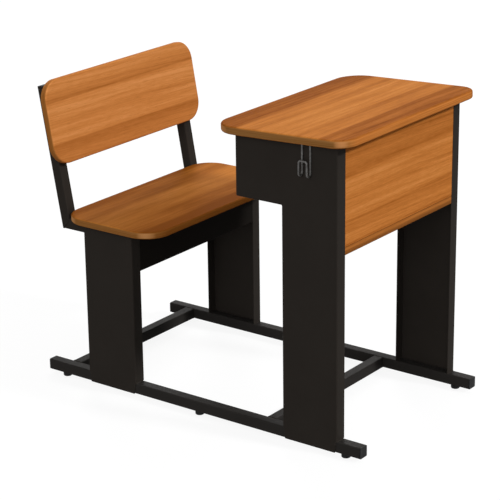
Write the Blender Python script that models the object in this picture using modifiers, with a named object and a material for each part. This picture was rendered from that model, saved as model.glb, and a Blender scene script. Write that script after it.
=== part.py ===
"""One-seat school desk joined to a bench seat with a backrest.

Metres, +Z up. X is the width, the desk is at -Y and the seat at +Y.
The seated user faces -Y, so "right" pieces are at -X and "left" pieces at +X.
The origin is on the floor in the middle of the footprint.
"""
import math

import bmesh
import bpy
from mathutils import Matrix, Vector

# General fits
fit_gap = 0.0003
cut_overrun = 0.004
hole_clearance = 0.0003
weld_distance = 0.00003
edge_angle = math.radians(40)
smooth_angle = math.radians(32)
mitre_block_share = 4

# Square steel tube
tube_side = 0.0275
tube_wall = 0.0015
tube_corner = 0.003

# Base frame
frame_width = 0.520
base_length = 0.9415
glide_height = 0.0105
desk_leg_setback = 0.0630
seat_leg_setback = 0.1350
front_rail_gap = 0.0370
rear_rail_gap = 0.0510

# Folded sheet legs
leg_width = 0.1510
leg_depth = 0.0305
leg_sheet = 0.002
leg_bend = 0.0035
tab_inset = 0.006
side_plate_length = 0.2780
side_plate_bottom = 0.5780

# Desktop
desktop_width = 0.5700
desktop_depth = 0.3685
desktop_thick = 0.0195
desktop_front_corner = 0.046
desktop_user_corner = 0.064
desktop_edge = 0.005
desktop_front_height = 0.7590
desktop_front_overhang = 0.0375
desktop_tilt = math.radians(2.29)

# Modesty panel between the front flanges
panel_thick = 0.018
panel_bottom = 0.4805
panel_edge = 0.001
lipping_height = 0.019
angle_sheet = 0.002
angle_leg = 0.018
angle_reach = 0.050
angle_height = 0.110
angle_bend = 0.003

# Book tray
tray_sheet = 0.0015
tray_lip = 0.014
tray_bend = 0.0025

# Seat
seat_height = 0.4450
seat_width = 0.5760
seat_depth = 0.2855
seat_thick = 0.0175
seat_front_corner = 0.065
seat_rear_corner = 0.065
seat_edge = 0.004
apron_bottom = 0.3225
apron_sheet = 0.002
apron_bend = 0.003
apron_top_flange = 0.025
apron_hem = 0.012
seat_tube_setback = 0.012

# Backrest and its posts
post_setback = 0.0585
seat_post_offset = 0.0100
post_tilt = math.radians(10.17)
post_length = 0.3425
back_width = 0.5690
back_height = 0.2075
back_thick = 0.0180
back_corner = 0.050
back_edge = 0.004
back_rise = 0.1470

# Square insert plugs in the tube ends
plug_plate = 0.0025
plug_depth = 0.012
plug_play = 0.0005
plug_edge = 0.0008

# Glides under the runners
glide_radius = 0.011
glide_foot_radius = 0.0085
glide_round = 0.003
glide_stem_radius = 0.004
glide_stem_length = 0.011
glide_end_distance = 0.048

# Bag hook on the right side plate
hook_wire = 0.0048
hook_spacing = 0.0220
hook_reach = 0.0136
hook_bottom = 0.6575
hook_top_gap = 0.0040
hook_upturn = 0.0405
hook_corner = 0.0055
hook_distance = 0.0812

# Screws
screw_head_radius = 0.0048
screw_head_height = 0.0028
screw_head_flat = 0.0022
screw_head_round = 0.0022
screw_shank_radius = 0.0022
screw_tip_length = 0.004
screw_bite = 0.012
seat_screw_distance = 0.035
back_screw_distance = 0.045
top_screw_front_distance = 0.085
top_screw_rear_distance = 0.040
panel_screw_distance = 0.025
panel_screw_inset = 0.014

# Facet counts
tube_segments = 3
bend_segments = 3
board_corner_segments = 8
board_edge_segments = 3
small_edge_segments = 2
turned_steps = 20
screw_steps = 14
hole_sides = 16
hook_bend_steps = 5
hook_ring_segments = 3

# Places that follow from the sizes above
half_width = frame_width / 2
half_length = base_length / 2
tube_x = half_width - leg_sheet - fit_gap - tube_side / 2
tube_inner_x = tube_x - tube_side / 2
runner_z = glide_height + tube_side / 2
runner_top = glide_height + tube_side
desk_leg_front = desk_leg_setback - half_length
desk_leg_rear = desk_leg_front + leg_width
side_plate_rear = desk_leg_front + side_plate_length
seat_leg_rear = half_length - seat_leg_setback
seat_leg_front = seat_leg_rear - leg_width
flange_inner_x = half_width - leg_depth
web_inner_x = half_width - leg_sheet
seat_under = seat_height - seat_thick
seat_bar_z = seat_under - fit_gap - tube_side / 2
seat_bar_bottom = seat_bar_z - tube_side / 2
post_joint_y = seat_leg_rear + post_setback
post_joint = Vector((0, post_joint_y, seat_bar_z))
post_axis = Vector((0, math.sin(post_tilt), math.cos(post_tilt)))
desktop_front = desk_leg_front - desktop_front_overhang
panel_back = desk_leg_front + panel_thick
half_turn = math.pi
quarter_turn = math.pi / 2

PARTS = bpy.data.collections.new("school_desk_with_seat")
CUTTERS = bpy.data.collections.new("cutters")


def clear_scene():
    for item in list(bpy.data.objects):
        bpy.data.objects.remove(item, do_unlink=True)
    bpy.context.scene.collection.children.link(PARTS)
    bpy.context.scene.collection.children.link(CUTTERS)


def make_material(name, colour, roughness, metallic):
    material = bpy.data.materials.new(name)
    material.use_nodes = True
    shader = material.node_tree.nodes["Principled BSDF"]
    shader.inputs["Base Color"].default_value = (*colour, 1)
    shader.inputs["Roughness"].default_value = roughness
    shader.inputs["Metallic"].default_value = metallic
    material.diffuse_color = (*colour, 1)
    return material


def frame_paint(name):
    return make_material(name + "_paint", (0.018, 0.016, 0.014), 0.5, 0)


def board_laminate(name):
    return make_material(name + "_laminate", (0.52, 0.21, 0.06), 0.42, 0)


def lipping_wood(name):
    return make_material(name + "_wood", (0.40, 0.15, 0.04), 0.5, 0)


def black_plastic(name):
    return make_material(name + "_plastic", (0.012, 0.012, 0.012), 0.55, 0)


def hook_steel(name):
    return make_material(name + "_steel", (0.09, 0.085, 0.08), 0.4, 0.6)


def screw_steel(name):
    return make_material(name + "_zinc", (0.45, 0.45, 0.44), 0.35, 0.9)


def add_mesh(name, bm, material_maker):
    mesh = bpy.data.meshes.new(name)
    bm.to_mesh(mesh)
    bm.free()
    part = bpy.data.objects.new(name, mesh)
    PARTS.objects.link(part)
    mesh.materials.append(material_maker(name))
    return part


def add_cutter(name, bm):
    mesh = bpy.data.meshes.new(name)
    bm.to_mesh(mesh)
    bm.free()
    cutter = bpy.data.objects.new(name, mesh)
    CUTTERS.objects.link(cutter)
    cutter.hide_render = True
    cutter.display_type = "WIRE"
    return cutter


def round_edges(part, width, segments):
    bevel = part.modifiers.new("Rounded edges", "BEVEL")
    bevel.width = width
    bevel.segments = segments
    bevel.limit_method = "ANGLE"
    bevel.angle_limit = edge_angle
    bevel.use_clamp_overlap = True


def thicken(part, thickness):
    shell = part.modifiers.new("Sheet thickness", "SOLIDIFY")
    shell.thickness = thickness
    shell.offset = -1
    shell.use_even_offset = True
    shell.use_quality_normals = True
    shell.use_rim = True


def subtract(part, cutter):
    cut = part.modifiers.new("Cut", "BOOLEAN")
    cut.operation = "DIFFERENCE"
    cut.solver = "EXACT"
    cut.object = cutter


def box_mesh(size, centre=(0, 0, 0)):
    bm = bmesh.new()
    bmesh.ops.create_cube(bm, size=1)
    bmesh.ops.scale(bm, vec=size, verts=bm.verts)
    bmesh.ops.translate(bm, vec=centre, verts=bm.verts)
    return bm


def drill(part, name, place, direction, radius, depth):
    """Round hole that starts one overrun before place and runs along direction."""
    bm = bmesh.new()
    bmesh.ops.create_cone(
        bm,
        cap_ends=True,
        segments=hole_sides,
        radius1=radius,
        radius2=radius,
        depth=depth + cut_overrun,
    )
    cutter = add_cutter(name, bm)
    axis = Vector(direction).normalized()
    cutter.rotation_mode = "QUATERNION"
    cutter.rotation_quaternion = axis.to_track_quat("Z", "Y")
    cutter.location = Vector(place) + axis * (depth - cut_overrun) / 2
    subtract(part, cutter)


def open_tube(name, length, material_maker):
    """Square tube along local Y with open ends, centred on its own origin."""
    bm = box_mesh((tube_side, length, tube_side))
    ends = [face for face in bm.faces if abs(face.normal.y) > abs(face.normal.x) + abs(face.normal.z)]
    bmesh.ops.delete(bm, geom=ends, context="FACES_ONLY")
    part = add_mesh(name, bm, material_maker)
    round_edges(part, tube_corner, tube_segments)
    thicken(part, tube_wall)
    return part


def rounded_board(name, size, corners, edge, material_maker):
    """Board with softly rounded rims; size is X, Y, Z, corners the plan radii at -Y and +Y."""
    bm = box_mesh(size)
    for end, corner in zip((-1, 1), corners):
        upright = [item for item in bm.edges if all(end * vert.co.y > 0 for vert in item.verts)]
        upright = [item for item in upright if item.verts[0].co.z * item.verts[1].co.z < 0]
        bmesh.ops.bevel(
            bm,
            geom=upright,
            offset=corner,
            offset_type="OFFSET",
            segments=board_corner_segments,
            profile=0.5,
            affect="EDGES",
        )
    part = add_mesh(name, bm, material_maker)
    round_edges(part, edge, board_edge_segments)
    return part


def folded_sheet(name, web, folds, inward, outward, sheet, bend, material_maker):
    """Sheet with a flat web and flanges folded along web edges; web corners lie on the outer face.

    folds maps the number of a web edge to the depth of its flange along inward.
    """
    bm = bmesh.new()
    rim = [bm.verts.new(point) for point in web]
    face = bm.faces.new(rim)
    face.normal_update()
    if face.normal.dot(Vector(outward)) < 0:
        face.normal_flip()
    feet = {}
    for edge, depth in folds.items():
        following = (edge + 1) % len(rim)
        for corner in (edge, following):
            if corner not in feet:
                feet[corner] = bm.verts.new(rim[corner].co + Vector(inward) * depth)
        bm.faces.new((rim[edge], rim[following], feet[following], feet[edge]))
    bmesh.ops.recalc_face_normals(bm, faces=bm.faces)
    if face.normal.dot(Vector(outward)) < 0:
        bmesh.ops.reverse_faces(bm, faces=bm.faces)
    part = add_mesh(name, bm, material_maker)
    round_edges(part, bend, bend_segments)
    thicken(part, sheet)
    return part


def turned(name, profile, steps, material_maker):
    """Solid of revolution about local Z; the profile runs from the top down its outer side."""
    bm = bmesh.new()
    chain = [bm.verts.new((radius, 0, height)) for radius, height in profile]
    for first, second in zip(chain, chain[1:]):
        bm.edges.new((first, second))
    part = add_mesh(name, bm, material_maker)
    spin = part.modifiers.new("Turned", "SCREW")
    spin.axis = "Z"
    spin.angle = 2 * half_turn
    spin.steps = steps
    spin.render_steps = steps
    spin.use_merge_vertices = True
    spin.merge_threshold = 0.00001
    spin.use_normal_calculate = True
    return part


def side_name(side):
    return "right" if side < 0 else "left"


def desktop_underside(y):
    """Height of the sloping underside of the desktop at a place along Y."""
    fall = (y - desktop_front) * math.tan(desktop_tilt)
    return desktop_front_height - fall - desktop_thick / math.cos(desktop_tilt)


def turn_x(angle):
    return Matrix.Rotation(angle, 4, "X")


def turn_z(angle):
    return Matrix.Rotation(angle, 4, "Z")


def shift(x, y, z):
    return Matrix.Translation((x, y, z))


def desktop_frame():
    """Local frame on the front top edge of the desktop, sloping down towards the user."""
    return shift(0, desktop_front, desktop_front_height) @ turn_x(-desktop_tilt)


def post_frame():
    """Local frame at the post foot, with its Z along the leaning posts."""
    return Matrix.Translation(post_joint) @ turn_x(-post_tilt)


def glide_places():
    reach = half_length - glide_end_distance
    return (-reach, 0, reach)


def runner(side):
    name = "runner_" + side_name(side)
    part = open_tube(name, base_length - 2 * (plug_plate + fit_gap), frame_paint)
    part.location = (side * tube_x, 0, runner_z)
    radius = glide_stem_radius + hole_clearance
    for index, y in enumerate(glide_places()):
        place = (side * tube_x, y, glide_height)
        drill(part, name + "_glide_hole_" + str(index), place, (0, 0, 1), radius, glide_stem_length)
    return part


def glide(side, index, y):
    top = glide_height - fit_gap
    profile = [
        (0, top + glide_stem_length),
        (glide_stem_radius, top + glide_stem_length),
        (glide_stem_radius, top),
        (glide_radius, top),
        (glide_radius, glide_round),
    ]
    width = glide_radius - glide_foot_radius
    for step in range(1, bend_segments):
        angle = quarter_turn * step / bend_segments
        profile.append((glide_foot_radius + width * math.cos(angle), glide_round * (1 - math.sin(angle))))
    profile += [(glide_foot_radius, 0), (0, 0)]
    part = turned("glide_" + side_name(side) + "_" + index, profile, turned_steps, black_plastic)
    part.location = (side * tube_x, y, 0)
    return part


def tube_plug(name, frame):
    """Insert plug with its outer face at local Y zero and its body towards -Y."""
    bm = box_mesh((tube_side, plug_plate, tube_side), (0, -plug_plate / 2, 0))
    long_edges = [edge for edge in bm.edges if edge.verts[0].co.y * edge.verts[1].co.y == 0]
    long_edges = [edge for edge in long_edges if abs(edge.verts[0].co.y - edge.verts[1].co.y) > 0]
    bmesh.ops.bevel(
        bm,
        geom=long_edges,
        offset=tube_corner,
        offset_type="OFFSET",
        segments=tube_segments,
        profile=0.5,
        affect="EDGES",
    )
    inner = min(bm.faces, key=lambda face: face.calc_center_median().y)
    bmesh.ops.inset_region(bm, faces=[inner], thickness=tube_wall + plug_play, use_even_offset=True)
    grown = bmesh.ops.extrude_face_region(bm, geom=[inner])
    moved = [item for item in grown["geom"] if isinstance(item, bmesh.types.BMVert)]
    bmesh.ops.translate(bm, vec=(0, -plug_depth, 0), verts=moved)
    bmesh.ops.delete(bm, geom=[inner], context="FACES_ONLY")
    part = add_mesh(name, bm, black_plastic)
    round_edges(part, plug_edge, small_edge_segments)
    part.matrix_basis = frame
    return part


def cross_rail(name, y):
    part = open_tube(name, 2 * (tube_inner_x - fit_gap), frame_paint)
    part.matrix_basis = shift(0, y, runner_z) @ turn_z(quarter_turn)
    return part


def desk_leg(side):
    """Leg channel and side plate folded from one sheet, with the desktop flange on top."""
    base = runner_top + fit_gap
    front_top = desktop_underside(desk_leg_front) - fit_gap
    rear_top = desktop_underside(side_plate_rear) - fit_gap
    outline = [
        (desk_leg_front, base),
        (desk_leg_front, front_top),
        (side_plate_rear, rear_top),
        (side_plate_rear, side_plate_bottom),
        (desk_leg_rear, side_plate_bottom),
        (desk_leg_rear, base),
        (desk_leg_rear - tab_inset, base),
        (desk_leg_rear - tab_inset, glide_height),
        (desk_leg_front + tab_inset, glide_height),
        (desk_leg_front + tab_inset, base),
    ]
    web = [(side * half_width, y, z) for y, z in outline]
    folds = {edge: leg_depth for edge in range(5)}
    name = "desk_leg_" + side_name(side)
    part = folded_sheet(
        name, web, folds, (-side, 0, 0), (side, 0, 0), leg_sheet, leg_bend, frame_paint
    )
    for index, (place, direction) in enumerate(desktop_screw_places(side)):
        radius = screw_shank_radius + hole_clearance
        start = place + direction * fit_gap
        drill(part, name + "_screw_hole_" + str(index), start, direction, radius, leg_sheet + cut_overrun)
    return part


def desktop_screw_places(side):
    """Head bearing points of the desktop screws below the top flange, and their direction."""
    frame = desktop_frame()
    slope = math.cos(desktop_tilt)
    first = (desk_leg_front - desktop_front) / slope + top_screw_front_distance
    last = (side_plate_rear - desktop_front) / slope - top_screw_rear_distance
    x = side * (half_width - leg_depth / 2)
    z = -desktop_thick - 2 * fit_gap - leg_sheet
    direction = frame.to_3x3() @ Vector((0, 0, 1))
    return [(frame @ Vector((x, y, z)), direction) for y in (first, last)]


def seat_leg(side):
    """Leg channel under the seat; its web laps the runner and the seat bar."""
    base = runner_top + fit_gap
    bar = seat_bar_bottom - fit_gap
    top = seat_under - fit_gap
    outline = [
        (seat_leg_front, base),
        (seat_leg_front, top),
        (seat_leg_rear - tab_inset, top),
        (seat_leg_rear - tab_inset, bar),
        (seat_leg_rear, bar),
        (seat_leg_rear, base),
        (seat_leg_rear - tab_inset, base),
        (seat_leg_rear - tab_inset, glide_height),
        (seat_leg_front + tab_inset, glide_height),
        (seat_leg_front + tab_inset, base),
    ]
    web = [(side * half_width, y, z) for y, z in outline]
    folds = {0: leg_depth, 4: leg_depth}
    return folded_sheet(
        "seat_leg_" + side_name(side),
        web,
        folds,
        (-side, 0, 0),
        (side, 0, 0),
        leg_sheet,
        leg_bend,
        frame_paint,
    )


def mitre_cut(part, name, x, away):
    """Cuts a tube along the mitre plane of the post foot; away is +1 above it, -1 below it."""
    normal = (Vector((0, 1, 0)) + post_axis).normalized()
    size = mitre_block_share * tube_side
    cutter = add_cutter(name, box_mesh((size, size, size)))
    cutter.rotation_mode = "QUATERNION"
    cutter.rotation_quaternion = normal.to_track_quat("Z", "X")
    joint = Vector((x, post_joint_y, seat_bar_z))
    cutter.location = joint - normal * away * (size / 2 - fit_gap / 2)
    subtract(part, cutter)


def seat_screw_places(side):
    places = (seat_leg_front + seat_screw_distance, seat_leg_rear - seat_screw_distance)
    return [Vector((side * tube_x, y, seat_bar_bottom - fit_gap)) for y in places]


def seat_bar(side):
    name = "seat_bar_" + side_name(side)
    start = seat_leg_front + leg_bend + fit_gap
    end = post_joint_y + tube_side
    part = open_tube(name, end - start, frame_paint)
    part.location = (side * tube_x, (start + end) / 2, seat_bar_z)
    mitre_cut(part, name + "_mitre", side * tube_x, -1)
    radius = screw_shank_radius + hole_clearance
    for index, place in enumerate(seat_screw_places(side)):
        drill(part, name + "_hole_" + str(index), place, (0, 0, 1), radius, tube_side + cut_overrun)
    return part


def back_screw_places(side):
    """Head bearing points of the backrest screws behind the post, and their direction."""
    frame = post_frame()
    heights = (back_rise + back_screw_distance, post_length - back_screw_distance)
    direction = frame.to_3x3() @ Vector((0, -1, 0))
    y = tube_side / 2 + fit_gap
    return [(frame @ Vector((side * tube_x, y, z)), direction) for z in heights]


def back_post(side):
    name = "back_post_" + side_name(side)
    start = -tube_side
    end = post_length - plug_plate - fit_gap
    part = open_tube(name, end - start, frame_paint)
    middle = shift(side * tube_x, 0, (start + end) / 2)
    part.matrix_basis = post_frame() @ middle @ turn_x(quarter_turn)
    mitre_cut(part, name + "_mitre", side * tube_x, 1)
    radius = screw_shank_radius + hole_clearance
    for index, (place, direction) in enumerate(back_screw_places(side)):
        drill(part, name + "_hole_" + str(index), place, direction, radius, tube_side + cut_overrun)
    return part


def seat_cross_tube():
    part = open_tube("seat_cross_tube", 2 * (tube_inner_x - fit_gap), frame_paint)
    y = seat_leg_rear + seat_tube_setback + tube_side / 2
    part.matrix_basis = shift(0, y, seat_bar_z) @ turn_z(quarter_turn)
    return part


def seat_apron():
    """Folded cross plate between the front flanges of the seat legs."""
    x = flange_inner_x - fit_gap
    top = seat_under - fit_gap
    web = [
        (-x, seat_leg_front, apron_bottom),
        (x, seat_leg_front, apron_bottom),
        (x, seat_leg_front, top),
        (-x, seat_leg_front, top),
    ]
    folds = {0: apron_hem, 2: apron_top_flange}
    return folded_sheet(
        "seat_apron", web, folds, (0, 1, 0), (0, -1, 0), apron_sheet, apron_bend, frame_paint
    )


def blind_hole(part, name, place, direction, stack):
    """Hole in a board for a screw whose head bears at place, across the given stack."""
    start = Vector(place) + Vector(direction) * stack
    radius = screw_shank_radius + hole_clearance
    drill(part, name, start, direction, radius, screw_bite + hole_clearance)


def seat_board():
    size = (seat_width, seat_depth, seat_thick)
    corners = (seat_front_corner, seat_rear_corner)
    part = rounded_board("seat_board", size, corners, seat_edge, board_laminate)
    y = post_joint_y - seat_post_offset - seat_depth / 2
    part.location = (0, y, seat_height - seat_thick / 2)
    for side in (-1, 1):
        for index, place in enumerate(seat_screw_places(side)):
            name = "seat_board_hole_" + side_name(side) + str(index)
            blind_hole(part, name, place, (0, 0, 1), tube_side + 2 * fit_gap)
    return part


def backrest():
    size = (back_width, back_height, back_thick)
    part = rounded_board("backrest", size, (back_corner, back_corner), back_edge, board_laminate)
    y = -tube_side / 2 - fit_gap - back_thick / 2
    middle = shift(0, y, back_rise + back_height / 2)
    part.matrix_basis = post_frame() @ middle @ turn_x(quarter_turn)
    for side in (-1, 1):
        for index, (place, direction) in enumerate(back_screw_places(side)):
            name = "backrest_hole_" + side_name(side) + str(index)
            blind_hole(part, name, place, direction, tube_side + 2 * fit_gap)
    return part


def desktop():
    size = (desktop_width, desktop_depth, desktop_thick)
    corners = (desktop_front_corner, desktop_user_corner)
    part = rounded_board("desktop", size, corners, desktop_edge, board_laminate)
    part.matrix_basis = desktop_frame() @ shift(0, desktop_depth / 2, -desktop_thick / 2)
    for side in (-1, 1):
        for index, (place, direction) in enumerate(desktop_screw_places(side)):
            name = "desktop_hole_" + side_name(side) + str(index)
            blind_hole(part, name, place, direction, leg_sheet + 2 * fit_gap)
    return part


def panel_slab(name, bottom, top, material_maker):
    size = (2 * (flange_inner_x - fit_gap), panel_thick, top - bottom)
    centre = (0, desk_leg_front + panel_thick / 2, (bottom + top) / 2)
    part = add_mesh(name, box_mesh(size), material_maker)
    part.location = centre
    round_edges(part, panel_edge, small_edge_segments)
    return part


def angle_top():
    return desktop_underside(panel_back + fit_gap + angle_leg) - leg_bend - 2 * fit_gap


def panel_screw_places(side):
    top = angle_top()
    x = side * (flange_inner_x - panel_screw_inset)
    y = panel_back + angle_sheet + 2 * fit_gap
    heights = (top - panel_screw_distance, top - angle_height + panel_screw_distance)
    return [Vector((x, y, z)) for z in heights]


def modesty_panel():
    bottom = panel_bottom + lipping_height + fit_gap
    part = panel_slab("modesty_panel", bottom, desktop_underside(panel_back) - fit_gap, board_laminate)
    for side in (-1, 1):
        for index, place in enumerate(panel_screw_places(side)):
            name = "panel_hole_" + side_name(side) + str(index)
            blind_hole(part, name, place, (0, -1, 0), angle_sheet + 2 * fit_gap)
    return part


def panel_lipping():
    return panel_slab("panel_lipping", panel_bottom, panel_bottom + lipping_height, lipping_wood)


def panel_angle(side):
    """Angle that ties the modesty panel to the side plate from behind."""
    corner = side * (web_inner_x - fit_gap)
    tip = corner - side * angle_reach
    y = panel_back + fit_gap
    top = angle_top()
    bottom = top - angle_height
    web = [(corner, y, bottom), (corner, y, top), (tip, y, top), (tip, y, bottom)]
    name = "panel_angle_" + side_name(side)
    part = folded_sheet(
        name, web, {0: angle_leg}, (0, 1, 0), (0, -1, 0), angle_sheet, angle_bend, frame_paint
    )
    radius = screw_shank_radius + hole_clearance
    for index, place in enumerate(panel_screw_places(side)):
        drill(part, name + "_hole_" + str(index), place, (0, -1, 0), radius, angle_sheet + cut_overrun)
    return part


def desk_cross_tube():
    part = open_tube("desk_cross_tube", 2 * (web_inner_x - fit_gap), frame_paint)
    depth = desktop_thick + 2 * fit_gap + leg_bend
    along = (panel_back + 2 * fit_gap + angle_leg - desktop_front) / math.cos(desktop_tilt)
    along += (depth + tube_side) * math.tan(desktop_tilt)
    middle = shift(0, along + tube_side / 2, -depth - tube_side / 2)
    part.matrix_basis = desktop_frame() @ middle @ turn_z(quarter_turn)
    return part


def book_tray():
    """Shallow tray on the bottom flanges of the side plates, with an upturned lip all round."""
    x = web_inner_x - fit_gap
    front = panel_back + fit_gap
    rear = side_plate_rear - leg_sheet - fit_gap
    z = side_plate_bottom + leg_sheet + fit_gap
    web = [(-x, front, z), (x, front, z), (x, rear, z), (-x, rear, z)]
    folds = {edge: tray_lip for edge in range(4)}
    return folded_sheet(
        "book_tray", web, folds, (0, 0, 1), (0, 0, -1), tray_sheet, tray_bend, frame_paint
    )


def arc(centre, first, second, start, end, steps):
    """Points on an arc from the start to the end angle in the plane of two unit directions."""
    points = []
    for step in range(steps + 1):
        angle = start + (end - start) * step / steps
        points.append(Vector(centre) + Vector(first) * math.cos(angle) + Vector(second) * math.sin(angle))
    return points


def hook_path():
    """Centre line of the bag hook: two stems, two turns outwards and an arch that joins them."""
    stem_x = -(half_width + fit_gap + hook_wire / 2)
    radius = hook_reach / 2
    low = hook_bottom + hook_wire / 2 + radius
    high = hook_bottom + hook_upturn - hook_wire / 2
    middle = desk_leg_front + hook_distance
    outer_x = stem_x - hook_reach
    front = middle - hook_spacing / 2
    rear = middle + hook_spacing / 2
    bend_x = stem_x - radius
    out = (radius, 0, 0)
    down = (0, 0, radius)
    top_z = desktop_underside(rear) - hook_top_gap
    points = [Vector((stem_x, front, top_z))]
    points += arc((bend_x, front, low), out, down, 0, -half_turn, 2 * hook_bend_steps)
    rise = (0, 0, hook_corner)
    along = (0, hook_corner, 0)
    top = high - hook_corner
    points += arc((outer_x, front + hook_corner, top), along, rise, half_turn, quarter_turn, hook_bend_steps)
    points += arc((outer_x, rear - hook_corner, top), along, rise, quarter_turn, 0, hook_bend_steps)
    points += arc((bend_x, rear, low), out, down, -half_turn, 0, 2 * hook_bend_steps)
    points.append(Vector((stem_x, rear, top_z)))
    return points


def bag_hook():
    path = bpy.data.curves.new("bag_hook_path", "CURVE")
    path.dimensions = "3D"
    path.bevel_depth = hook_wire / 2
    path.bevel_resolution = hook_ring_segments
    path.use_fill_caps = True
    points = hook_path()
    spline = path.splines.new("POLY")
    spline.points.add(len(points) - 1)
    for point, place in zip(spline.points, points):
        point.co = (*place, 1)
    rod = bpy.data.objects.new("bag_hook_rod", path)
    CUTTERS.objects.link(rod)
    bpy.context.view_layer.update()
    evaluated = rod.evaluated_get(bpy.context.evaluated_depsgraph_get())
    mesh = bpy.data.meshes.new_from_object(evaluated)
    bpy.data.objects.remove(rod, do_unlink=True)
    bm = bmesh.new()
    bm.from_mesh(mesh)
    bmesh.ops.remove_doubles(bm, verts=bm.verts, dist=weld_distance)
    bmesh.ops.recalc_face_normals(bm, faces=bm.faces)
    bpy.data.meshes.remove(mesh)
    return add_mesh("bag_hook", bm, hook_steel)


def screw(name, place, direction, stack):
    """Pan head screw with its head under place and its shank through the stack into a board."""
    length = stack + screw_bite
    profile = [
        (0, length),
        (screw_shank_radius, length - screw_tip_length),
        (screw_shank_radius, 0),
        (screw_head_radius, 0),
        (screw_head_radius, screw_head_round - screw_head_height),
        (screw_head_flat, -screw_head_height),
        (0, -screw_head_height),
    ]
    part = turned(name, profile, screw_steps, screw_steel)
    part.rotation_mode = "QUATERNION"
    part.rotation_quaternion = Vector(direction).to_track_quat("Z", "Y")
    part.location = place
    return part


def all_screws():
    tube_stack = tube_side + 2 * fit_gap
    for side in (-1, 1):
        word = side_name(side)
        for index, place in zip(("front", "rear"), seat_screw_places(side)):
            screw("seat_screw_" + word + "_" + index, place, (0, 0, 1), tube_stack)
        for index, (place, direction) in zip(("lower", "upper"), back_screw_places(side)):
            screw("back_screw_" + word + "_" + index, place, direction, tube_stack)
        for index, (place, direction) in zip(("front", "rear"), desktop_screw_places(side)):
            screw("desktop_screw_" + word + "_" + index, place, direction, leg_sheet + 2 * fit_gap)
        for index, place in zip(("upper", "lower"), panel_screw_places(side)):
            screw("panel_screw_" + word + "_" + index, place, (0, -1, 0), angle_sheet + 2 * fit_gap)


def all_plugs():
    for side in (-1, 1):
        word = side_name(side)
        rear = shift(side * tube_x, half_length, runner_z)
        front = shift(side * tube_x, -half_length, runner_z) @ turn_z(half_turn)
        top = post_frame() @ shift(side * tube_x, 0, post_length) @ turn_x(quarter_turn)
        tube_plug("runner_plug_" + word + "_rear", rear)
        tube_plug("runner_plug_" + word + "_front", front)
        tube_plug("post_plug_" + word, top)


def freeze_shapes():
    """Turns every part's modifiers into its own mesh, smooth except at its real edges."""
    bpy.context.view_layer.update()
    graph = bpy.context.evaluated_depsgraph_get()
    finished = [(part, bpy.data.meshes.new_from_object(part.evaluated_get(graph))) for part in PARTS.objects]
    for part, mesh in finished:
        part.modifiers.clear()
        mesh.name = part.name
        part.data = mesh
        mesh.shade_smooth()
        mesh.set_sharp_from_angle(angle=smooth_angle)


def build():
    clear_scene()
    for side in (-1, 1):
        runner(side)
        desk_leg(side)
        seat_leg(side)
        seat_bar(side)
        back_post(side)
        panel_angle(side)
        for index, y in zip(("front", "middle", "rear"), glide_places()):
            glide(side, index, y)
    cross_rail("cross_rail_front", desk_leg_rear + front_rail_gap + tube_side / 2)
    cross_rail("cross_rail_rear", seat_leg_rear + rear_rail_gap + tube_side / 2)
    desk_cross_tube()
    seat_cross_tube()
    seat_apron()
    book_tray()
    desktop()
    modesty_panel()
    panel_lipping()
    seat_board()
    backrest()
    bag_hook()
    all_plugs()
    all_screws()
    freeze_shapes()


build()
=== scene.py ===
import math
import random

import bmesh
import bpy
from mathutils import Matrix, Vector


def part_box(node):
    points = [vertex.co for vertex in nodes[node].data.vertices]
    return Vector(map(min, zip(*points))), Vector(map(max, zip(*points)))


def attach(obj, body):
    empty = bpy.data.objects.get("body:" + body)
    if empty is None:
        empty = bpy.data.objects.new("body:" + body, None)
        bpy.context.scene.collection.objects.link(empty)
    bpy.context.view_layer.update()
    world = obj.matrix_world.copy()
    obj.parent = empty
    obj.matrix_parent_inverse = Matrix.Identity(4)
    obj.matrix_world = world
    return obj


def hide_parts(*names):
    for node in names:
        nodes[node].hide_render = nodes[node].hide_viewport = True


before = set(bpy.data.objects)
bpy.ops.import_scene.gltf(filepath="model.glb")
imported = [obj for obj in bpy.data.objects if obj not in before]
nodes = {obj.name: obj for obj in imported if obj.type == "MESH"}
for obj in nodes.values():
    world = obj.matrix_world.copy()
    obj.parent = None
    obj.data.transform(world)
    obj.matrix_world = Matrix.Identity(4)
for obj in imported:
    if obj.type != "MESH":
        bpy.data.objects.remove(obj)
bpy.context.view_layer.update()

# Boards as the CAD has them, in metres.
# size: width along X, length across the grain, thickness; turn: from lying flat, about X.
# corners: plan radii at the -Y (or lower) rim and at the other; edge: radius of the rolled rims.
# The backrest is 0.2 mm shorter than in the CAD, so that its finer rim stays in the CAD box.
DESKTOP_TILT = math.radians(2.29)
BACK_TILT = math.radians(10.17)
DESKTOP_FORM = {
    "size": (0.5700, 0.3685, 0.0195),
    "corners": (0.046, 0.064),
    "edge": 0.005,
    "turn": -DESKTOP_TILT,
}
SEAT_FORM = {
    "size": (0.5760, 0.2855, 0.0175),
    "corners": (0.065, 0.065),
    "edge": 0.004,
    "turn": 0.0,
}
BACK_FORM = {
    "size": (0.5690, 0.2073, 0.0180),
    "corners": (0.050, 0.050),
    "edge": 0.004,
    "turn": math.pi / 2 - BACK_TILT,
}
EDGE_SUPPORT_SHARE = 0.3

# Frame and fittings that the CAD has too
TUBE_CORNER = 0.003
LEG_WIDTH = 0.1510
LEG_SHEET = 0.002
TAB_INSET = 0.006
HOOK_WIRE = 0.0048
HOOK_UPTURN = 0.0405
HOOK_CORNER = 0.0055
SCREW_HEAD_RADIUS = 0.0048
SCREW_HEAD_HEIGHT = 0.0028
SCREW_SHANK_RADIUS = 0.0022
SCREW_TIP = 0.004
GLIDE_RADIUS = 0.011
GLIDE_FOOT_RADIUS = 0.0085
GLIDE_ROUND = 0.003
GLIDE_STEM_RADIUS = 0.004
GLIDE_GAP = 0.0005

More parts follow.
